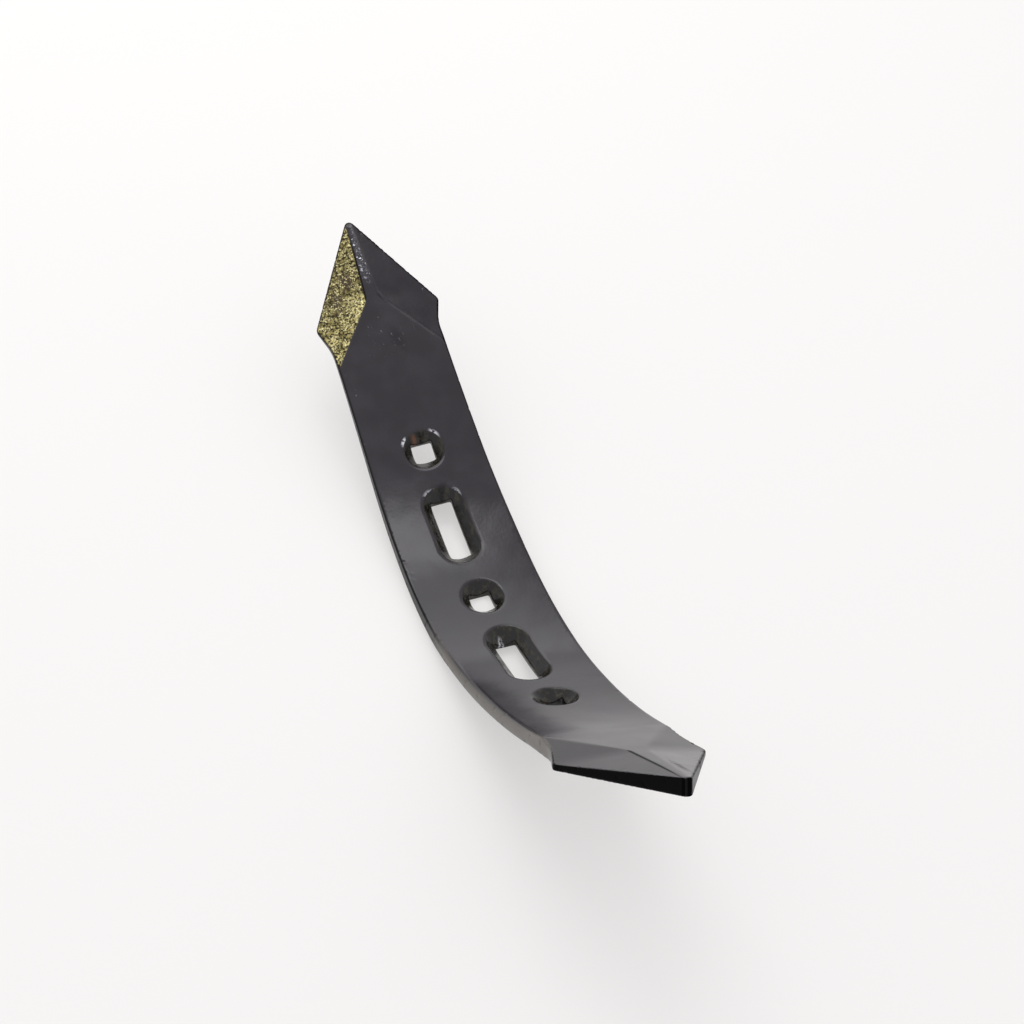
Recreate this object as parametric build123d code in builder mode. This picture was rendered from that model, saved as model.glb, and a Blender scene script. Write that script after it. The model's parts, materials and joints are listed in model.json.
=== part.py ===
from build123d import *
from math import cos, degrees, pi, radians, tan
import os

# Driving dimensions, in millimetres and degrees. Lengths along the bar are measured
# on its hollow front face.
thickness = 9.0
middle_width = 75.0
neck_width = 69.0
edge_radius = 2.5

# The bend: a tight arc in the middle, an easier arc on each side, straight ends.
tight_radius = 185.0
tight_length = 106.0
easy_radius = 340.0
easy_length = 83.0
bend_offset = 26.0

# From the middle bolt hole to each neck, where the bar runs into an arrowhead. The
# twist from hole to neck is even, and negative is a left-hand helix.
neck_reach = 170.0
twist_angle = -10.0

# The arrowheads, alike at both ends and flat. Their lengths start from the neck.
waist_run = 18.0
waist_radius = 30.0
shoulder_run = 35.0
shoulder_width = 80.0
shoulder_radius = 1.5
apex_run = 102.0
tip_radius = 3.0

# The bevels: a narrow ridge keeps the full thickness, the shoulders run thin.
bevel_run = 5.0
ridge_run = 44.0
ridge_width = 8.0
shoulder_edge = 3.0

# Square bolt holes and square-ended slots, countersunk on the front face.
hole_pitch = 53.5
bolt_square = 13.0
slot_length = 40.0
corner_radius = 0.8
countersink_diameter = 25.0
countersink_angle = 45.0

# How far the first straight is tipped up when the point lies on its rounded back.
lie_angle = 21.2

# Working values, not sizes of the object: how closely the bar's sections stand,
# and how far a cutting shape runs clear of what it cuts.
section_spacing = 17.0
clear = 3.0

# A reach is a distance from the middle bolt hole, positive towards the end nearer the
# bend.
apex_reach = neck_reach + apex_run
hole_reaches = [-2 * hole_pitch, 0, 2 * hole_pitch]
slot_reaches = [-hole_pitch, hole_pitch]

# The line of the bend, on the front face, from the sharp apex of one arrowhead
# to the apex of the other.
tight_start = bend_offset - tight_length / 2
tight_end = bend_offset + tight_length / 2
with BuildLine(Plane.XZ) as bend_line:
    first_straight = Line((0, 0), (apex_reach + tight_start - easy_length, 0))
    first_easy = JernArc(
        first_straight @ 1, first_straight % 1, easy_radius, degrees(easy_length / easy_radius)
    )
    tight = JernArc(first_easy @ 1, first_easy % 1, tight_radius, degrees(tight_length / tight_radius))
    second_easy = JernArc(tight @ 1, tight % 1, easy_radius, degrees(easy_length / easy_radius))
    last_length = apex_reach - tight_end - easy_length
    Line(second_easy @ 1, second_easy @ 1 + (second_easy % 1) * last_length)
bend = bend_line.wire()


def front_plane(reach):
    """Plane on the front face at a reach: x runs along the bar, z stands out of the face."""
    distance = reach + apex_reach
    origin = bend.position_at(distance, position_mode=PositionMode.LENGTH)
    along = bend.tangent_at(distance, position_mode=PositionMode.LENGTH)
    twist = twist_angle * max(-1, min(1, reach / neck_reach))
    out = along.cross(Vector(0, 1, 0)).rotate(Axis((0, 0, 0), along), twist)
    return Plane(origin=origin, x_dir=along, z_dir=out)


def head_plane(side):
    """Plane on an arrowhead's face, with x running from its neck to its tip."""
    face = front_plane(side * neck_reach)
    return Plane(origin=face.origin, x_dir=face.x_dir * side, z_dir=face.z_dir)


def section_plane(reach):
    """Plane square to the bar at a reach: x runs across it, y stands out of the front face."""
    face = front_plane(reach)
    return Plane(origin=face.origin, x_dir=face.y_dir, z_dir=face.x_dir)


def bar_width(reach):
    """The bar swells from the necks to the middle, with no corner at either."""
    swell = (middle_width - neck_width) / 2
    return neck_width + swell * (1 + cos(pi * reach / neck_reach))


# One bevel, drawn on the plane of an arrowhead whose x runs from neck to tip. It is
# hollow: one flat falls away from the ridge, and the other from the bevel's inner end.
ridge_corner = Vector(ridge_run, ridge_width / 2, 0)
ridge_ahead = Vector(apex_run, ridge_width / 2, 0)
inner_end = Vector(bevel_run, neck_width / 2, 0)
shoulder_point = Vector(shoulder_run, shoulder_width / 2, shoulder_edge - thickness)
ridge_flat = Plane(
    origin=ridge_corner, z_dir=(ridge_ahead - ridge_corner).cross(shoulder_point - ridge_corner)
)
inner_flat = Plane(
    origin=ridge_corner, z_dir=(shoulder_point - ridge_corner).cross(inner_end - ridge_corner)
)
with BuildPart() as bevel_cut:
    with Locations((0, 0, clear)):
        Box(
            apex_run + clear,
            shoulder_width / 2 + clear,
            thickness + clear,
            align=(Align.MIN, Align.MIN, Align.MAX),
        )
    split(bisect_by=ridge_flat, keep=Keep.TOP)
    split(bisect_by=inner_flat, keep=Keep.TOP)
    mirror(about=Plane.XZ)

with BuildPart() as head:
    with BuildSketch() as outline:
        with BuildLine():
            Polyline(
                (0, 0),
                (0, neck_width / 2),
                (waist_run, neck_width / 2),
                (shoulder_run, shoulder_width / 2),
                (apex_run, 0),
                close=True,
            )
        make_face()
        mirror(about=Plane.XZ)
        across = outline.vertices().group_by(Axis.Y)
        fillet(across[0] + across[-1], shoulder_radius)
        fillet(outline.vertices().sort_by(Axis.X)[-1], tip_radius)
        waist_corner = Vector(waist_run, neck_width / 2)
        waists = outline.vertices().sort_by_distance(waist_corner)[:1]
        waists += outline.vertices().sort_by_distance(waist_corner.rotate(Axis.X, 180))[:1]
        fillet(waists, waist_radius)
    extrude(amount=-thickness)
    joint_edges = head.faces().sort_by(Axis.X)[0].edges()
    rims = head.faces().filter_by(Axis.Z).edges()
    fillet([rim for rim in rims if rim not in joint_edges], edge_radius)
    add(bevel_cut.part, mode=Mode.SUBTRACT)

with BuildPart() as forging:
    section_count = round(2 * neck_reach / section_spacing)
    for number in range(section_count + 1):
        reach = neck_reach * (2 * number / section_count - 1)
        with BuildSketch(section_plane(reach)):
            with Locations((0, -thickness / 2)):
                RectangleRounded(bar_width(reach), thickness, edge_radius)
    loft()
    for side in (-1, 1):
        with Locations(head_plane(side).location):
            add(head.part)

    # Countersinks run a little deeper than where their sides reach the bolt square's.
    # They start above the face, because a hollow face rises on both sides of a hole.
    slope = tan(radians(countersink_angle))
    sink_depth = (countersink_diameter - bolt_square) / 2 / slope + corner_radius
    sink_mouth = countersink_diameter + 2 * clear * slope
    for reach in hole_reaches:
        with BuildSketch(front_plane(reach).offset(clear)):
            Circle(sink_mouth / 2)
        extrude(amount=-(clear + sink_depth), taper=countersink_angle, mode=Mode.SUBTRACT)
        with BuildSketch(front_plane(reach).offset(clear)):
            RectangleRounded(bolt_square, bolt_square, corner_radius)
        extrude(amount=-(thickness + 2 * clear), mode=Mode.SUBTRACT)
    for reach in slot_reaches:
        with BuildSketch(front_plane(reach).offset(clear)):
            SlotOverall(slot_length - bolt_square + sink_mouth, sink_mouth)
        extrude(amount=-(clear + sink_depth), taper=countersink_angle, mode=Mode.SUBTRACT)
        with BuildSketch(front_plane(reach).offset(clear)):
            RectangleRounded(slot_length, bolt_square, corner_radius)
        extrude(amount=-(thickness + 2 * clear), mode=Mode.SUBTRACT)

# Lying on its back, with the middle of its box over the origin and its back on the floor.
with BuildPart() as tine_point:
    add(forging.part, rotation=(0, lie_angle, 0))
box = tine_point.part.bounding_box()
tine_point.part.position -= Vector(box.center().X, box.center().Y, box.min.Z)

tine_point.part.label = "tine_point"
os.makedirs("parts", exist_ok=True)
export_step(tine_point.part, "parts/tine_point.step")
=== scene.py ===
import bpy
import json
import math
import numpy as np
from mathutils import Matrix, Vector


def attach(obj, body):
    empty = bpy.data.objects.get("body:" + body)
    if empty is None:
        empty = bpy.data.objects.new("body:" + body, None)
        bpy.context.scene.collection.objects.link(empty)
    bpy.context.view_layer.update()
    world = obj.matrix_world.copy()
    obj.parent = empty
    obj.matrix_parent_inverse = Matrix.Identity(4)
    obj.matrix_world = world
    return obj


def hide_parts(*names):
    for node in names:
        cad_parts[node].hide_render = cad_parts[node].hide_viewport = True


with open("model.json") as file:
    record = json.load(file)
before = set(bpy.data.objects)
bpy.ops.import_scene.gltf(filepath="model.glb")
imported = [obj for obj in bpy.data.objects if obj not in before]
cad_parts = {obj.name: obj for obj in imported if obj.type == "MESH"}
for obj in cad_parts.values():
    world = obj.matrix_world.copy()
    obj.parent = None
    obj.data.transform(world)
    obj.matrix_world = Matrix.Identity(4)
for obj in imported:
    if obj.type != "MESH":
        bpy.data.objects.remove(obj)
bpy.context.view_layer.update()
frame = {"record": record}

MM = 0.001

# The bar and its arrowheads, in millimetres. Lengths along the bar are measured on
# the hollow front face.
THICKNESS = 9.0
MIDDLE_WIDTH = 75.0
NECK_WIDTH = 69.0
EDGE_ROUND = 1.2
BEND_EDGE_ROUND = 4.0
BEND_EDGE_SPANS = ((10, 60), (150, 182))
NECK_REACH = 170.0
WAIST_RUN = 18.0
WAIST_SOFTNESS = 1.6
SHOULDER_RUN = 35.0
SHOULDER_WIDTH = 80.0
SHOULDER_ROUND = 1.5
APEX_RUN = 103.4
TIP_ROUND = 5.0
APEX_REACH = NECK_REACH + APEX_RUN

# The bevels on each arrowhead.
BEVEL_RUN = 2.0
RIDGE_RUN = 44.0
RIDGE_WIDTH = 8.0
TIP_RIDGE_WIDTH = 1.0
SHOULDER_EDGE = 3.0
BEVEL_EDGE_ROUND = 0.12
BEVEL_VALLEY_SOFTNESS = 0.8

# The bend, and the twist from the middle bolt hole to each neck.
TIGHT_RADIUS = 185.0
TIGHT_LENGTH = 106.0
EASY_RADIUS = 340.0
EASY_LENGTH = 83.0
BEND_OFFSET = 26.0
TWIST = math.radians(-10.0)

# Square bolt holes and square-ended slots, each with a countersink.
HOLE_PITCH = 53.5
BOLT_SQUARE = 13.0
SLOT_LENGTH = 40.0
CORNER_ROUND = 0.8
SINK_DIAMETER = 25.0
RIM_ROUND = 0.7

HOLES = [(-2 * HOLE_PITCH, BOLT_SQUARE), (0.0, BOLT_SQUARE), (2 * HOLE_PITCH, BOLT_SQUARE)]
HOLES += [(-HOLE_PITCH, SLOT_LENGTH), (HOLE_PITCH, SLOT_LENGTH)]

# How far the bend line runs on past each tip, so that every point finds a place on it.
LINE_SPARE = 6.0


def rounded_meet(first, second, radius):
    """The distance field where two walls meet in an outside corner of a given radius."""
    inner = np.minimum(np.maximum(first, second), -radius)
    return inner + np.hypot(np.maximum(first + radius, 0), np.maximum(second + radius, 0))


def filled_meet(first, second, radius):
    """The distance field where two walls meet in an inside corner of a given radius."""
    return -rounded_meet(-first, -second, radius)


def blended_lower(first, second, softness):
    """The lower of two heights, with the valley between their slopes rounded out."""
    share = np.maximum(softness - np.abs(first - second), 0) / softness
    return np.minimum(first, second) - share**2 * softness / 4


def half_width(reach):
    """Half the width of the body, swollen from the necks to the middle."""
    swell = (MIDDLE_WIDTH - NECK_WIDTH) / 4
    wave = np.cos(np.pi * np.clip(reach / NECK_REACH, -1, 1))
    return NECK_WIDTH / 2 + swell * (1 + wave)


def outline_field(reach, across):
    """How far a place on the face is outside the outline, negative inside."""
    run = np.abs(reach) - NECK_REACH
    aside = np.abs(across)
    flare = (SHOULDER_WIDTH - NECK_WIDTH) / 2 / (SHOULDER_RUN - WAIST_RUN)
    body = aside - half_width(reach)
    flank = (aside - NECK_WIDTH / 2 - flare * (run - WAIST_RUN)) / math.hypot(1, flare)
    side = filled_meet(body, flank, WAIST_SOFTNESS)
    fall = math.atan2(SHOULDER_WIDTH / 2, APEX_RUN - SHOULDER_RUN)
    right = (run - APEX_RUN) * math.sin(fall) + across * math.cos(fall)
    left = (run - APEX_RUN) * math.sin(fall) - across * math.cos(fall)
    return rounded_meet(side, rounded_meet(right, left, TIP_ROUND), SHOULDER_ROUND)


def edge_round(reach, across):
    """The radius of the long edges, worn large on one side of the bend."""
    (rise_start, rise_end), (fall_start, fall_end) = BEND_EDGE_SPANS
    rise = np.clip((reach - rise_start) / (rise_end - rise_start), 0, 1)
    fall = np.clip((fall_end - reach) / (fall_end - fall_start), 0, 1)
    share = np.minimum(rise, fall) * (across < 0)
    share = share * share * (3 - 2 * share)
    return EDGE_ROUND + (BEND_EDGE_ROUND - EDGE_ROUND) * share


def bevel_fields(reach, across, depth):
    """Heights above the two flats of a hollow bevel: the one along the ridge and the inner one."""
    place = np.stack([np.abs(reach) - NECK_REACH, np.abs(across), depth], axis=-1)
    ridge_corner = np.array([RIDGE_RUN, RIDGE_WIDTH / 2, 0])
    inner_end = np.array([BEVEL_RUN, NECK_WIDTH / 2, 0])
    shoulder = np.array([SHOULDER_RUN, SHOULDER_WIDTH / 2, SHOULDER_EDGE - THICKNESS])
    ridge_end = np.array([APEX_RUN, TIP_RIDGE_WIDTH / 2, 0])
    along_ridge = np.cross(ridge_end - ridge_corner, shoulder - ridge_corner)
    inner = np.cross(shoulder - ridge_corner, inner_end - ridge_corner)
    rise = place - ridge_corner
    return rise @ (along_ridge / np.linalg.norm(along_ridge)), rise @ (inner / np.linalg.norm(inner))


def bend_radius(reach):
    """The radius of the bend at a reach."""
    return TIGHT_RADIUS if abs(reach - BEND_OFFSET) < TIGHT_LENGTH / 2 else EASY_RADIUS


def hole_field(reach, across, depth, centre, length):
    """How far a place is inside the walls of a hole or slot, and of its countersink."""
    radius = bend_radius(centre)
    turn = (reach - centre) / radius
    along = np.abs((radius - depth) * np.sin(turn))
    height = radius - (radius - depth) * np.cos(turn)
    over = along - length / 2 + CORNER_ROUND
    beside = np.abs(across) - BOLT_SQUARE / 2 + CORNER_ROUND
    square = np.hypot(np.maximum(over, 0), np.maximum(beside, 0))
    square = square + np.minimum(np.maximum(over, beside), 0) - CORNER_ROUND
    out = np.hypot(np.maximum(along - (length - BOLT_SQUARE) / 2, 0), across)
    cone = (out - SINK_DIAMETER / 2 - height) / math.sqrt(2)
    sink_floor = -(SINK_DIAMETER - BOLT_SQUARE) / 2 - CORNER_ROUND
    cone = np.maximum(cone, np.maximum(sink_floor - height, height - SINK_DIAMETER / 2))
    return square, cone


def blank_field(places):
    """How far each place is outside the finished blank, negative inside, in millimetres."""
    reach, across, depth = places[..., 0], places[..., 1], places[..., 2]
    faces = np.abs(depth + THICKNESS / 2) - THICKNESS / 2
    field = rounded_meet(outline_field(reach, across), faces, edge_round(reach, across))
    along_ridge, inner = bevel_fields(reach, across, depth)
    bevel = blended_lower(along_ridge, inner, BEVEL_VALLEY_SOFTNESS)
    field = rounded_meet(field, np.minimum(bevel, THICKNESS), BEVEL_EDGE_ROUND)
    for centre, length in HOLES:
        square, cone = hole_field(reach, across, depth, centre, length)
        field = rounded_meet(field, -np.minimum(square, cone), RIM_ROUND)
    return field


def steps(*spans):
    """Grid lines from (end, spacing) pairs, mirrored about zero."""
    lines = [np.zeros(1)]
    start = 0.0
    for end, spacing in spans:
        count = max(1, round((end - start) / spacing))
        lines.append(np.linspace(start, end, count + 1)[1:])
        start = end
    half = np.concatenate(lines)
    return np.concatenate([-half[:0:-1], half])


def skin(lines, field):
    """Points and outward faces of a closed surface where a field is zero, on a grid of lines."""
    grid = np.stack(np.meshgrid(*lines, indexing="ij"), axis=-1)
    value = field(grid)
    shape = np.array(value.shape)
    total = np.zeros(tuple(shape - 1) + (3,))
    count = np.zeros(tuple(shape - 1))
    for axis in range(3):
        low = [slice(None)] * 3
        high = [slice(None)] * 3
        low[axis], high[axis] = slice(None, -1), slice(1, None)
        low, high = tuple(low), tuple(high)
        crossed = (value[low] < 0) != (value[high] < 0)
        span = np.where(crossed, value[low] - value[high], 1.0)
        share = np.where(crossed, value[low] / span, 0.0)[..., None]
        place = grid[low] + share * (grid[high] - grid[low])
        place = np.where(crossed[..., None], place, 0.0)
        others = [other for other in range(3) if other != axis]
        for corner in range(4):
            pick = [slice(None)] * 3
            for bit, other in enumerate(others):
                pick[other] = slice(1, None) if corner >> bit & 1 else slice(None, -1)
            total += place[tuple(pick)]
            count += crossed[tuple(pick)]
    used = count > 0
    number = np.full(count.shape, -1)
    number[used] = np.arange(used.sum())
    points = total[used] / count[used][:, None]
    faces = []
    for axis in range(3):
        first, second = (axis + 1) % 3, (axis + 2) % 3
        inner = [slice(1, -1)] * 3
        inner[axis] = slice(None)
        sign = value[tuple(inner)] < 0
        change = np.diff(sign.astype(int), axis=axis)
        where = np.argwhere(change)
        leaving = change[tuple(where.T)] < 0
        ring = []
        for back_first, back_second in ((0, 0), (1, 0), (1, 1), (0, 1)):
            cell = where.copy()
            cell[:, first] += 1 - back_first
            cell[:, second] += 1 - back_second
            ring.append(number[tuple(cell.T)])
        quads = np.stack(ring, axis=-1)
        quads[~leaving] = quads[~leaving][:, ::-1]
        faces.append(quads)
    return points, np.concatenate(faces)


def pulled_on(points, field, rounds=6, reach=0.02):
    """Points moved along the field's slope until the field is zero there."""
    for _ in range(rounds):
        slope = np.zeros_like(points)
        for axis in range(3):
            offset = np.zeros(3)
            offset[axis] = reach
            slope[:, axis] = (field(points + offset) - field(points - offset)) / (2 * reach)
        steepness = np.maximum((slope**2).sum(axis=1), 0.05)
        points = points - slope * (field(points) / steepness)[:, None]
    return points


def bend_line(step=0.5):
    """Points of the bend line in the side view, and the heading, at even steps of reach."""
    reach = np.arange(-APEX_REACH - LINE_SPARE, APEX_REACH + LINE_SPARE + step / 2, step)
    middles = (reach[:-1] + reach[1:]) / 2
    off_centre = np.abs(middles - BEND_OFFSET)
    curving = np.where(off_centre < TIGHT_LENGTH / 2, 1 / TIGHT_RADIUS, 1 / EASY_RADIUS)
    curving = np.where(off_centre < TIGHT_LENGTH / 2 + EASY_LENGTH, curving, 0.0)
    heading = np.concatenate([[0.0], np.cumsum(curving * step)])
    heading -= np.interp(0.0, reach, heading)
    facing = (heading[:-1] + heading[1:]) / 2
    ahead = np.concatenate([[0.0], np.cumsum(np.cos(facing) * step)])
    up = np.concatenate([[0.0], np.cumsum(np.sin(facing) * step)])
    return ahead - np.interp(0.0, reach, ahead), up - np.interp(0.0, reach, up)


def bend_line_object():
    """The bend line as a curve, set where the record puts the middle bolt hole."""
    mount = next(m for m in frame["record"]["mounts"] if m["name"] == "middle_bolt_hole")
    origin = np.array(mount["pos_m"])
    normal = np.array(mount["axis"])
    along = np.cross([0, 1, 0], normal)
    ahead, up = bend_line()
    places = origin + np.outer(ahead * MM, along) + np.outer(up * MM, normal)
    data = bpy.data.curves.new("bend_line", "CURVE")
    data.dimensions = "3D"
    spline = data.splines.new("POLY")
    spline.points.add(len(places) - 1)
    spline.points.foreach_set("co", np.column_stack([places, np.ones(len(places))]).ravel())
    curve = bpy.data.objects.new("bend_line", data)
    bpy.context.scene.collection.objects.link(curve)
    return curve


def add_node(tree, kind, links=None, values=None, **settings):
    """A node with its settings, its unlinked values and the sockets that feed it."""
    node = tree.nodes.new(kind)
    for name, value in settings.items():
        setattr(node, name, value)
    for socket, value in (values or {}).items():
        node.inputs[socket].default_value = value
    for socket, source in (links or {}).items():
        tree.links.new(source, node.inputs[socket])
    return node


def linear(hex_colour):
    """A Blender colour from an sRGB hex value."""
    parts = [int(hex_colour[place : place + 2], 16) / 255 for place in (1, 3, 5)]
    return tuple(p / 12.92 if p <= 0.04045 else ((p + 0.055) / 1.055) ** 2.4 for p in parts) + (1.0,)


def float_attribute(mesh, name, values):
    """Stores one number a point on a mesh."""
    attribute = mesh.attributes.new(name, "FLOAT", "POINT")
    attribute.data.foreach_set("value", np.ascontiguousarray(values, dtype=np.float32))


def make_blank():
    """The flat blank: outline, rounded edges, bevels, holes and countersinks, in its own frame."""
    spare = 2.0
    along_lines = steps((128, 0.9), (NECK_REACH, 1.5), (APEX_REACH + spare, 1.0))
    across_lines = steps((14, 0.86), (30, 1.6), (SHOULDER_WIDTH / 2 + spare, 0.85))
    depth_lines = np.linspace(-THICKNESS - 0.85, 0.85, 15)
    points, faces = skin((along_lines, across_lines, depth_lines), blank_field)
    points = pulled_on(points, blank_field)
    mesh = bpy.data.meshes.new("tine_point_forging")
    mesh.from_pydata((points * MM).tolist(), [], faces.tolist())
    mesh.shade_smooth()
    reach, across, depth = points.T
    along_ridge, inner = bevel_fields(reach, across, np.zeros_like(depth))
    holes = np.full_like(reach, 20.0)
    for centre, length in HOLES:
        holes = np.minimum(holes, np.minimum(*hole_field(reach, across, depth, centre, length)))
    float_attribute(mesh, "below_ridge", np.clip(along_ridge, -9, 9) * MM)
    float_attribute(mesh, "below_inner_line", np.clip(inner, -9, 9) * MM)
    float_attribute(mesh, "from_outline", np.clip(-outline_field(reach, across), -1, 20) * MM)
    float_attribute(mesh, "from_hole", np.clip(holes, -1, 20) * MM)
    float_attribute(mesh, "edge", np.exp(-((outline_field(reach, across) / 2.5) ** 2)))
    forging = bpy.data.objects.new("tine_point_forging", mesh)
    bpy.context.scene.collection.objects.link(forging)
    return forging


def forging_tree():
    """The node tree that dents a flat blank a little, then bends and twists it along a line."""
    tree = bpy.data.node_groups.new("forge_to_bend_line", "GeometryNodeTree")
    face = tree.interface
    face.new_socket("Blank", in_out="INPUT", socket_type="NodeSocketGeometry")
    face.new_socket("Bend Line", in_out="INPUT", socket_type="NodeSocketObject")
    for name in ("Line Start", "Twist", "Neck Reach", "Wave Height", "Wave Length"):
        face.new_socket(name, in_out="INPUT", socket_type="NodeSocketFloat")
    for name in ("Nick Depth", "Nick Size", "Seed"):
        face.new_socket(name, in_out="INPUT", socket_type="NodeSocketFloat")
    face.new_socket("Paint", in_out="INPUT", socket_type="NodeSocketMaterial")
    face.new_socket("Forging", in_out="OUTPUT", socket_type="NodeSocketGeometry")
    given = add_node(tree, "NodeGroupInput").outputs
    place = add_node(tree, "GeometryNodeInputPosition").outputs[0]
    normal = add_node(tree, "GeometryNodeInputNormal").outputs[0]
    kept = add_node(
        tree,
        "GeometryNodeStoreNamedAttribute",
        {"Geometry": given["Blank"], "Value": place},
        {"Name": "blank"},
        data_type="FLOAT_VECTOR",
        domain="POINT",
    )

    # Low waves left by the forging die, a few centimetres long.
    wave_scale = add_node(tree, "ShaderNodeMath", {1: given["Wave Length"]}, {0: 1.0}, operation="DIVIDE")
    waves = add_node(
        tree,
        "ShaderNodeTexNoise",
        {"Vector": place, "W": given["Seed"], "Scale": wave_scale.outputs[0]},
        {"Detail": 1.0},
        noise_dimensions="4D",
    )
    wave = add_node(tree, "ShaderNodeMath", {0: waves.outputs["Fac"]}, {1: 0.5}, operation="SUBTRACT")
    wave = add_node(
        tree, "ShaderNodeMath", {0: wave.outputs[0], 1: given["Wave Height"]}, operation="MULTIPLY"
    )

    # Nicks bite only where the blank is near its outline.
    edge = add_node(tree, "GeometryNodeInputNamedAttribute", values={"Name": "edge"}, data_type="FLOAT")
    nick_scale = add_node(tree, "ShaderNodeMath", {1: given["Nick Size"]}, {0: 1.0}, operation="DIVIDE")
    chips = add_node(
        tree,
        "ShaderNodeTexNoise",
        {"Vector": place, "W": given["Seed"], "Scale": nick_scale.outputs[0]},
        {"Detail": 2.0},
        noise_dimensions="4D",
    )
    bite = add_node(
        tree,
        "ShaderNodeMapRange",
        {"Value": chips.outputs["Fac"]},
        {"From Min": 0.62, "From Max": 0.78, "To Min": 0.0, "To Max": -1.0},
    )
    bite = add_node(tree, "ShaderNodeMath", {0: bite.outputs[0], 1: edge.outputs[0]}, operation="MULTIPLY")
    bite = add_node(
        tree, "ShaderNodeMath", {0: bite.outputs[0], 1: given["Nick Depth"]}, operation="MULTIPLY"
    )
    dent = add_node(tree, "ShaderNodeMath", {0: wave.outputs[0], 1: bite.outputs[0]}, operation="ADD")
    push = add_node(
        tree, "ShaderNodeVectorMath", {0: normal, "Scale": dent.outputs[0]}, operation="SCALE"
    )
    dented = add_node(
        tree, "GeometryNodeSetPosition", {"Geometry": kept.outputs[0], "Offset": push.outputs[0]}
    )

    # Each point goes to its reach on the line, and turns about it with the twist.
    blank = add_node(tree, "ShaderNodeSeparateXYZ", {0: place})
    line = add_node(tree, "GeometryNodeObjectInfo", {"Object": given["Bend Line"]})
    distance = add_node(
        tree, "ShaderNodeMath", {0: blank.outputs["X"], 1: given["Line Start"]}, operation="ADD"
    )
    at = add_node(
        tree,
        "GeometryNodeSampleCurve",
        {"Curves": line.outputs["Geometry"], "Length": distance.outputs[0]},
        mode="LENGTH",
    )
    out = add_node(
        tree,
        "ShaderNodeVectorMath",
        {0: at.outputs["Tangent"]},
        {1: (0.0, 1.0, 0.0)},
        operation="CROSS_PRODUCT",
    )
    lift = add_node(
        tree,
        "ShaderNodeVectorMath",
        {0: out.outputs[0], "Scale": blank.outputs["Z"]},
        operation="SCALE",
    )
    across = add_node(tree, "ShaderNodeCombineXYZ", {"Y": blank.outputs["Y"]})
    arm = add_node(
        tree, "ShaderNodeVectorMath", {0: lift.outputs[0], 1: across.outputs[0]}, operation="ADD"
    )
    share = add_node(
        tree, "ShaderNodeMath", {0: blank.outputs["X"], 1: given["Neck Reach"]}, operation="DIVIDE"
    )
    share = add_node(tree, "ShaderNodeClamp", {"Value": share.outputs[0]}, {"Min": -1.0, "Max": 1.0})
    angle = add_node(
        tree, "ShaderNodeMath", {0: share.outputs[0], 1: given["Twist"]}, operation="MULTIPLY"
    )
    turned = add_node(
        tree,
        "ShaderNodeVectorRotate",
        {"Vector": arm.outputs[0], "Axis": at.outputs["Tangent"], "Angle": angle.outputs[0]},
        rotation_type="AXIS_ANGLE",
    )
    there = add_node(
        tree, "ShaderNodeVectorMath", {0: at.outputs["Position"], 1: turned.outputs[0]}, operation="ADD"
    )
    bent = add_node(
        tree, "GeometryNodeSetPosition", {"Geometry": dented.outputs[0], "Position": there.outputs[0]}
    )
    real = add_node(tree, "GeometryNodeRealizeInstances", {0: bent.outputs[0]})
    painted = add_node(
        tree, "GeometryNodeSetMaterial", {"Geometry": real.outputs[0], "Material": given["Paint"]}
    )
    add_node(tree, "NodeGroupOutput", {0: painted.outputs[0]})
    return tree


def forge(blank, line, paint):
    """Runs the forging tree on the blank and leaves a plain mesh in its place."""
    tree = forging_tree()
    modifier = blank.modifiers.new("forging", "NODES")
    modifier.node_group = tree
    settings = {
        "Bend Line": line,
        "Line Start": (APEX_REACH + LINE_SPARE) * MM,
        "Twist": TWIST,
        "Neck Reach": NECK_REACH * MM,
        "Wave Height": 0.25 * MM,
        "Wave Length": 60 * MM,
        "Nick Depth": 0.8 * MM,
        "Nick Size": 3.0 * MM,
        "Seed": 4.0,
        "Paint": paint,
    }
    for socket in tree.interface.items_tree:
        if socket.in_out == "INPUT" and socket.name in settings:
            modifier[socket.identifier] = settings[socket.name]
    bpy.context.view_layer.update()
    shown = blank.evaluated_get(bpy.context.evaluated_depsgraph_get())
    mesh = bpy.data.meshes.new_from_object(shown)
    blank.modifiers.remove(modifier)
    blank.data = mesh
    bpy.data.objects.remove(line)


def grains(tree, place, size, low, high, stretch=(1.0, 1.0, 1.0), detail=2.0):
    """A cloudy pattern of grains of a real size in metres, 0 below one level and 1 above another."""
    squeezed = add_node(tree, "ShaderNodeVectorMath", {0: place}, {1: stretch}, operation="MULTIPLY")
    cloud = add_node(
        tree,
        "ShaderNodeTexNoise",
        {"Vector": squeezed.outputs[0]},
        {"Scale": 1 / size, "Detail": detail, "Roughness": 0.6},
    )
    sharp = add_node(
        tree,
        "ShaderNodeMapRange",
        {"Value": cloud.outputs["Fac"]},
        {"From Min": low, "From Max": high},
        interpolation_type="SMOOTHSTEP",
    )
    return sharp.outputs[0]


def patch(tree, place, reach, across, length, width):
    """A soft oval patch on the face, 1 in its middle, from places and sizes in millimetres."""
    middle = add_node(
        tree, "ShaderNodeVectorMath", {0: place}, {1: (reach * MM, across * MM, 0.0)}, operation="SUBTRACT"
    )
    scaled = add_node(
        tree,
        "ShaderNodeVectorMath",
        {0: middle.outputs[0]},
        {1: (2 / length / MM, 2 / width / MM, 0.0)},
        operation="MULTIPLY",
    )
    out = add_node(tree, "ShaderNodeVectorMath", {0: scaled.outputs[0]}, operation="LENGTH")
    soft = add_node(
        tree,
        "ShaderNodeMapRange",
        {"Value": out.outputs["Value"]},
        {"From Min": 1.0, "From Max": 0.2},
        interpolation_type="SMOOTHSTEP",
    )
    return soft.outputs[0]


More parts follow.
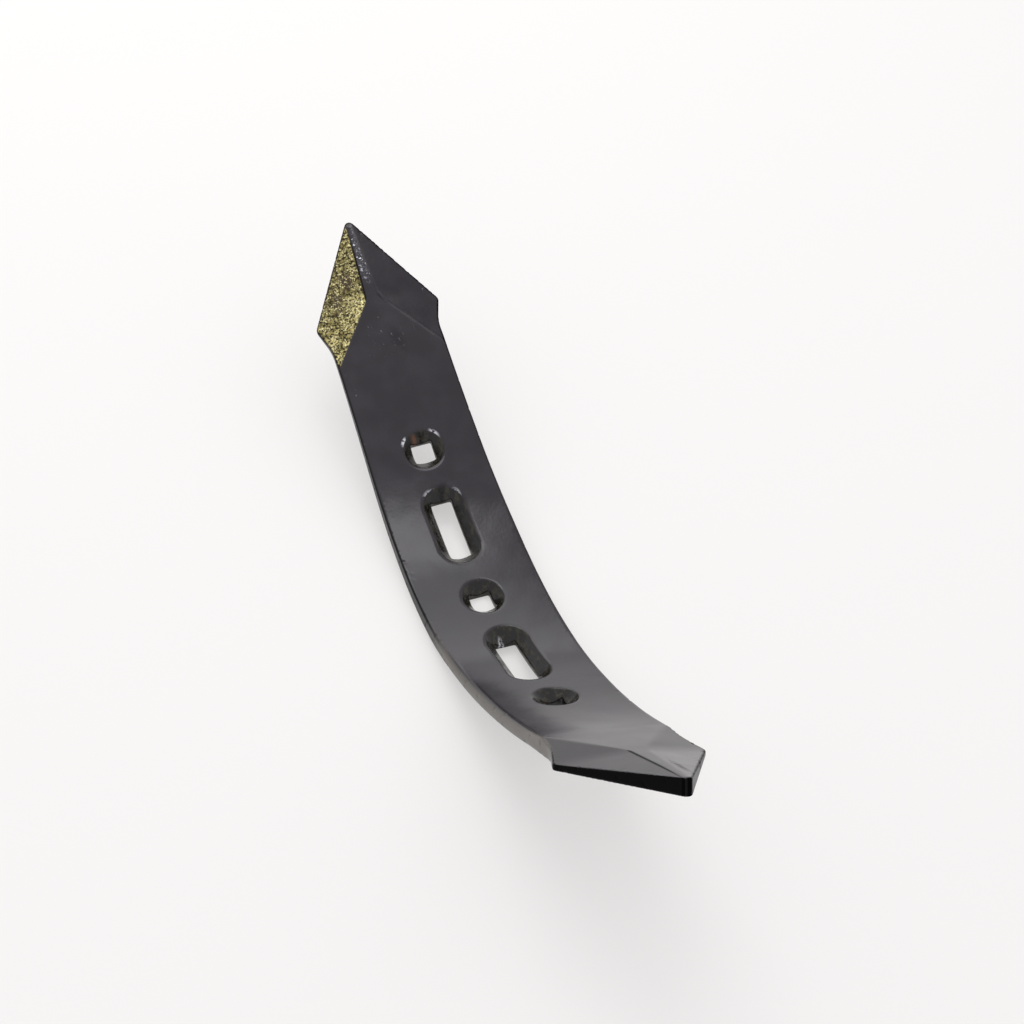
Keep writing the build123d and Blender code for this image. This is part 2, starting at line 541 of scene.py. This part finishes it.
def between(tree, value, off, on):
    """How far a value in metres has gone from off to on, both in millimetres."""
    share = add_node(
        tree,
        "ShaderNodeMapRange",
        {"Value": value},
        {"From Min": off * MM, "From Max": on * MM},
        interpolation_type="SMOOTHSTEP",
    )
    return share.outputs[0]


def all_of(tree, *patterns):
    """Where every one of some patterns shows."""
    shown = patterns[0]
    for pattern in patterns[1:]:
        shown = add_node(tree, "ShaderNodeMath", {0: shown, 1: pattern}, operation="MULTIPLY").outputs[0]
    return shown


def any_of(tree, *patterns):
    """Where at least one of some patterns shows."""
    shown = patterns[0]
    for pattern in patterns[1:]:
        shown = add_node(tree, "ShaderNodeMath", {0: shown, 1: pattern}, operation="MAXIMUM").outputs[0]
    return shown


def summed(tree, *parts):
    """The sum of patterns, each times its own size."""
    total = None
    for pattern, size in parts:
        part = add_node(tree, "ShaderNodeMath", {0: pattern}, {1: size}, operation="MULTIPLY").outputs[0]
        if total is None:
            total = part
        else:
            total = add_node(tree, "ShaderNodeMath", {0: total, 1: part}, operation="ADD").outputs[0]
    return total


def coloured(tree, *layers):
    """Colours laid over one another, each where its pattern shows; the first lies everywhere."""
    colour = None
    for hex_colour, pattern in layers:
        links = {} if colour is None else {0: pattern, 6: colour}
        values = {7: linear(hex_colour)}
        if colour is None:
            values[0] = 1.0
        colour = add_node(tree, "ShaderNodeMix", links, values, data_type="RGBA").outputs[2]
    return colour


def black_paint():
    """Gloss black paint dipped over forged steel: near black, mirroring the room in soft blotches.

    It has rubbed off one bevel, down to brassy grains of scale, and off specks along the ridge. Its dark edge
    lines are painted shade; its light side band, rims and wall glints are painted sheen and highlights.
    """
    material = bpy.data.materials.new("gloss_black_paint_on_forged_steel")
    material.use_nodes = True
    tree = material.node_tree
    tree.nodes.clear()
    given = {}
    for name in ("blank", "below_ridge", "below_inner_line", "from_outline", "from_hole"):
        given[name] = add_node(tree, "ShaderNodeAttribute", attribute_name=name).outputs
    place = given["blank"]["Vector"]
    axes = add_node(tree, "ShaderNodeSeparateXYZ", {0: place}).outputs
    upper_head = between(tree, axes["X"], -160, -166)
    lower_head = between(tree, axes["X"], 160, 166)
    left_half = between(tree, axes["Y"], -1.5, -2.5)
    front = between(tree, axes["Z"], -8.6, -8.0)
    below_ridge = given["below_ridge"]["Fac"]
    below_inner_line = given["below_inner_line"]["Fac"]

    from_outline = given["from_outline"]["Fac"]
    from_hole = given["from_hole"]["Fac"]

    # The bare bevel starts a little below the ridge, and right at its other inner edge.
    bevel = all_of(
        tree,
        between(tree, below_ridge, 0.12, 0.30),
        between(tree, below_inner_line, -0.02, 0.12),
        between(tree, from_outline, 0.2, 1.3),
        upper_head,
        left_half,
        front,
    )
    # Scale grains are about 1 mm, and stand in streaks that fan out from the inner corner.
    grain = grains(tree, place, 1.5 * MM, 0.44, 0.58, detail=5.0)
    sparkle = grains(tree, place, 1.1 * MM, 0.50, 0.60, detail=4.0)
    streaks = grains(tree, place, 2.4 * MM, 0.40, 0.60, stretch=(1.0, 0.4, 1.0))
    flats = add_node(
        tree, "ShaderNodeMath", {0: below_ridge, 1: below_inner_line}, operation="SUBTRACT"
    )
    toward_body = between(tree, flats.outputs[0], -1.0, 1.6)
    inner_corner = patch(tree, place, -212, -10, 26, 20)
    brown_patch = patch(tree, place, -231, -13, 19, 15)
    brown_mottle = patch(tree, place, -219, -23, 26, 17)
    brown = any_of(tree, brown_patch, all_of(tree, brown_mottle, grains(tree, place, 4 * MM, 0.42, 0.52)))

    # Painted shade: sharp edges and the edge under the lower bevel are painted near black and made dull, as
    # dark lines where they fall into shade.
    big_round = all_of(tree, between(tree, axes["X"], 0, 40), between(tree, axes["Y"], 0, -1))
    sharp_edge = add_node(tree, "ShaderNodeMath", {1: big_round}, {0: 1.0}, operation="SUBTRACT")
    outline = all_of(tree, between(tree, from_outline, 1.5, 0.4), sharp_edge.outputs[0])
    past_shoulder = between(tree, axes["X"], 201, 205)
    left_of_tip = between(tree, axes["Y"], 2.0, 1.0)
    head_edge_painted_shade = all_of(tree, between(tree, from_outline, 1.0, 0.3), past_shoulder, left_of_tip)
    # Painted shade: the ridge crease on the left half of each head is painted as a dark line.
    ridge_crease_painted_shade = all_of(
        tree,
        between(tree, below_ridge, -0.06, 0.04),
        between(tree, below_ridge, 0.34, 0.20),
        between(tree, below_inner_line, 0.02, 0.25),
        left_half,
        front,
    )
    # Painted sheen: the rounded side band by the bend is painted a lighter grey where it mirrors the bright
    # room, and made rougher.
    side_band_painted_sheen = all_of(
        tree,
        big_round,
        between(tree, axes["X"], 200, 185),
        between(tree, from_outline, 2.6, 0.3),
    )
    # The upper head's far bevel hardly differs from its face: the paint there mirrors less.
    right_half = between(tree, axes["Y"], 1.5, 2.5)
    far_bevel = all_of(
        tree,
        between(tree, below_ridge, -0.3, 0.1),
        between(tree, below_inner_line, -0.3, 0.1),
        upper_head,
        right_half,
        front,
    )
    far_crease = all_of(tree, far_bevel, between(tree, below_inner_line, 0.5, 0.2))
    lower_bevel = all_of(
        tree,
        between(tree, below_ridge, 0.0, 0.15),
        between(tree, below_inner_line, 0.0, 0.15),
        lower_head,
        left_half,
        front,
    )

    # Specks of bare metal on the narrow ridge, a millimetre or so across.
    ridge_band = all_of(tree, patch(tree, place, -246, 0.8, 52, 11), between(tree, below_ridge, 0.02, -0.05))
    ridge_specks = all_of(tree, grains(tree, place, 2.0 * MM, 0.56, 0.66), ridge_band, front)
    ridge_haze = all_of(tree, grains(tree, place, 3.0 * MM, 0.42, 0.60), ridge_band, front)

    # Nicks and chips in the paint.
    nick_field = any_of(
        tree,
        patch(tree, place, -186, -2, 46, 34),
        patch(tree, place, -213, 33, 14, 10),
        patch(tree, place, -158, -31, 26, 8),
        patch(tree, place, 184, -33, 16, 10),
        patch(tree, place, -121, 3, 12, 14),
    )
    nick_grains = grains(tree, place, 3.0 * MM, 0.64, 0.72, stretch=(0.7, 1.3, 1.0))
    nicks = all_of(tree, nick_grains, nick_field, front)
    scratches = all_of(
        tree,
        grains(tree, place, 0.9 * MM, 0.70, 0.78, stretch=(0.05, 1.0, 1.0)),
        grains(tree, place, 30 * MM, 0.48, 0.62),
    )
    # Painted highlights: bright bare metal on chosen rims and hole walls, where light glints. Stains and soot
    # on the walls below.
    rim = all_of(tree, between(tree, from_hole, 1.5, 0.9), between(tree, from_hole, 0.10, 0.35), front)
    painted_rim_highlight = any_of(
        tree,
        patch(tree, place, -114.5, -10, 9, 7),
        patch(tree, place, -114, 8.5, 15, 8),
        patch(tree, place, -76.5, -4.5, 10, 14),
        patch(tree, place, -73, 9.5, 12, 7),
        patch(tree, place, 104, -5, 9, 9),
    )
    painted_rim_highlight = all_of(tree, painted_rim_highlight, rim, grains(tree, place, 2.5 * MM, 0.38, 0.50))
    hole_wall = between(tree, from_hole, 0.35, 0.05)
    wall_glint = all_of(
        tree,
        hole_wall,
        any_of(tree, patch(tree, place, 36, -2.2, 14, 5), patch(tree, place, 107, -4, 10, 5)),
        grains(tree, place, 1.6 * MM, 0.40, 0.56, stretch=(0.4, 1.0, 1.0)),
    )
    soot = grains(tree, place, 5 * MM, 0.42, 0.62)
    olive = all_of(tree, hole_wall, grains(tree, place, 3 * MM, 0.50, 0.66, stretch=(0.4, 1.0, 1.0)))
    rust = any_of(
        tree,
        all_of(tree, patch(tree, place, -115.8, -3.6, 8, 5), hole_wall),
        all_of(tree, patch(tree, place, 118.0, 1.5, 9, 8), hole_wall),
    )
    blotch = all_of(
        tree, patch(tree, place, -183, 5.5, 36, 16), grains(tree, place, 9 * MM, 0.30, 0.52), front
    )
    smudges = any_of(
        tree,
        patch(tree, place, 246, 6.5, 34, 6),
        patch(tree, place, -81.8, 3.9, 7, 10),
    )
    smudges = all_of(tree, smudges, grains(tree, place, 4 * MM, 0.32, 0.55), front)
    cloudy = grains(tree, place, 26 * MM, 0.35, 0.65)
    gold_grain = all_of(tree, bevel, grain)

    colour = coloured(
        tree,
        ("#19151b", None),
        ("#221c24", cloudy),
        ("#14120e", hole_wall),
        ("#2d2b1e", olive),
        ("#4a4648", scratches),
        # Painted sheen: lighter grey on the side band.
        ("#5d5a54", side_band_painted_sheen),
        ("#6d696b", nicks),
        ("#5c3a22", rust),
        ("#3d3c42", ridge_haze),
        # Bright metal: real bare specks on the ridge, and painted highlights on rims and hole walls.
        ("#e2e4ea", any_of(tree, ridge_specks, painted_rim_highlight, wall_glint)),
        # Painted shade: near black along the edges, the lower head's edge and the ridge crease.
        ("#0b0a0b", any_of(tree, outline, head_edge_painted_shade, ridge_crease_painted_shade)),
        ("#2b2613", bevel),
        ("#8d8352", gold_grain),
        ("#bdb277", all_of(tree, gold_grain, any_of(tree, inner_corner, all_of(tree, toward_body, streaks)))),
        ("#4a4032", all_of(tree, bevel, brown)),
        ("#e6dda6", all_of(tree, bevel, sparkle, any_of(tree, inner_corner, streaks))),
    )
    # Metal where the bevel and ridge specks are bare, and where rims and walls carry painted highlights.
    bare_specks_and_painted_glints = any_of(tree, ridge_specks, painted_rim_highlight, wall_glint)
    metallic = summed(tree, (any_of(tree, bevel, bare_specks_and_painted_glints), 0.85))
    dull = any_of(tree, blotch, smudges, all_of(tree, hole_wall, soot), outline, ridge_crease_painted_shade)
    roughness = summed(
        tree,
        (cloudy, 0.05),
        (dull, 0.16),
        (bevel, 0.20),
        (nicks, 0.1),
        (head_edge_painted_shade, 0.3),
        (side_band_painted_sheen, 0.2),
    )
    roughness = add_node(tree, "ShaderNodeMath", {0: roughness}, {1: 0.16}, operation="ADD").outputs[0]
    lost_shine = summed(
        tree,
        (head_edge_painted_shade, 0.40),
        (ridge_crease_painted_shade, 0.40),
        (outline, 0.36),
        (any_of(tree, blotch, smudges), 0.22),
        (lower_bevel, 0.07),
        (far_bevel, 0.15),
        (far_crease, 0.15),
        (hole_wall, 0.10),
    )
    shine = add_node(tree, "ShaderNodeMath", {1: lost_shine}, {0: 0.5}, operation="SUBTRACT", use_clamp=True)
    height = summed(
        tree,
        (grains(tree, place, 2.4 * MM, 0.2, 0.8, detail=1.0), 0.010 * MM),
        (grains(tree, place, 24 * MM, 0.2, 0.8, detail=1.0), 0.11 * MM),
        (gold_grain, 0.14 * MM),
        (all_of(tree, bevel, sparkle), 0.08 * MM),
        (ridge_haze, 0.06 * MM),
        (ridge_specks, 0.15 * MM),
        (nicks, -0.12 * MM),
        (scratches, -0.02 * MM),
        (all_of(tree, hole_wall, soot), 0.05 * MM),
    )
    relief = add_node(tree, "ShaderNodeBump", {"Height": height}, {"Strength": 1.0, "Distance": 1.0})
    shader = add_node(
        tree,
        "ShaderNodeBsdfPrincipled",
        {
            "Base Color": colour,
            "Metallic": metallic,
            "Roughness": roughness,
            "Specular IOR Level": shine.outputs[0],
            "Normal": relief.outputs[0],
        },
        {"IOR": 1.5},
    )
    add_node(tree, "ShaderNodeOutputMaterial", {"Surface": shader.outputs[0]})
    return material


def soft_light(name, size, glow, place, aim, turn=0.0):
    """A soft box of a given width and height that faces a point; its glow is its own brightness."""
    light = bpy.data.lights.new(name, "AREA")
    light.shape = "RECTANGLE"
    light.size, light.size_y = size
    light.energy = 4 * glow * size[0] * size[1]
    box = bpy.data.objects.new(name, light)
    box.location = place
    facing = (Vector(aim) - Vector(place)).to_track_quat("-Z", "Y").to_matrix()
    box.rotation_euler = (facing @ Matrix.Rotation(turn, 3, "Z")).to_euler()
    bpy.context.scene.collection.objects.link(box)


def make_studio():
    """A pale floor, a pale surround, and a tall soft box to one side with a brighter strip on top."""
    world = bpy.data.worlds.new("studio")
    world.use_nodes = True
    world.node_tree.nodes["Background"].inputs["Color"].default_value = linear("#f4f2f6")
    world.node_tree.nodes["Background"].inputs["Strength"].default_value = 0.95
    bpy.context.scene.world = world
    size = 3.0
    mesh = bpy.data.meshes.new("floor")
    corners = [(-size, -size, 0), (size, -size, 0), (size, size, 0), (-size, size, 0)]
    mesh.from_pydata(corners, [], [(0, 1, 2, 3)])
    floor = bpy.data.objects.new("floor", mesh)
    material = bpy.data.materials.new("matt_white_acrylic_lit_from_below")
    material.use_nodes = True
    shader = material.node_tree.nodes["Principled BSDF"]
    shader.inputs["Base Color"].default_value = linear("#b5b4b2")
    shader.inputs["Roughness"].default_value = 0.9
    shader.inputs["Emission Color"].default_value = linear("#fffefc")
    shader.inputs["Emission Strength"].default_value = 0.45
    mesh.materials.append(material)
    bpy.context.scene.collection.objects.link(floor)
    soft_light("tall_side_box", (1.24, 2.0), 0.9, (-1.42, 0.08, 1.34), (-0.19, -0.44, 0.0))
    soft_light("low_side_box", (1.24, 0.6), 0.3, (-1.80, 0.24, 0.30), (-0.19, -0.44, 0.30))
    soft_light("top_strip", (1.04, 0.4), 1.5, (-0.764, -0.088, 1.6), (-0.764, -0.088, 0.0), math.radians(67))


def make_camera():
    """The photograph's view: a long lens, a little rolled, looking down on the hollow face."""
    data = bpy.data.cameras.new("camera")
    data.lens = 61.8
    data.sensor_width = 36.0
    data.clip_start = 0.01
    camera = bpy.data.objects.new("camera", data)
    azimuth, elevation, roll = math.radians(-26.6), math.radians(46.29), math.radians(6.86)
    flat = math.cos(elevation)
    back = Vector((flat * math.cos(azimuth), flat * math.sin(azimuth), math.sin(elevation)))
    camera.location = Vector((-0.0189, 0.0277, 0.040)) + back * 1.0219
    turn = (-back).to_track_quat("-Z", "Y").to_matrix() @ Matrix.Rotation(roll, 3, "Z")
    camera.rotation_euler = turn.to_euler()
    bpy.context.scene.collection.objects.link(camera)
    bpy.context.scene.camera = camera


forging = make_blank()
forge(forging, bend_line_object(), black_paint())
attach(forging, "root")
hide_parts("tine_point")
make_studio()
make_camera()
bpy.context.scene.view_settings.view_transform = "Standard"
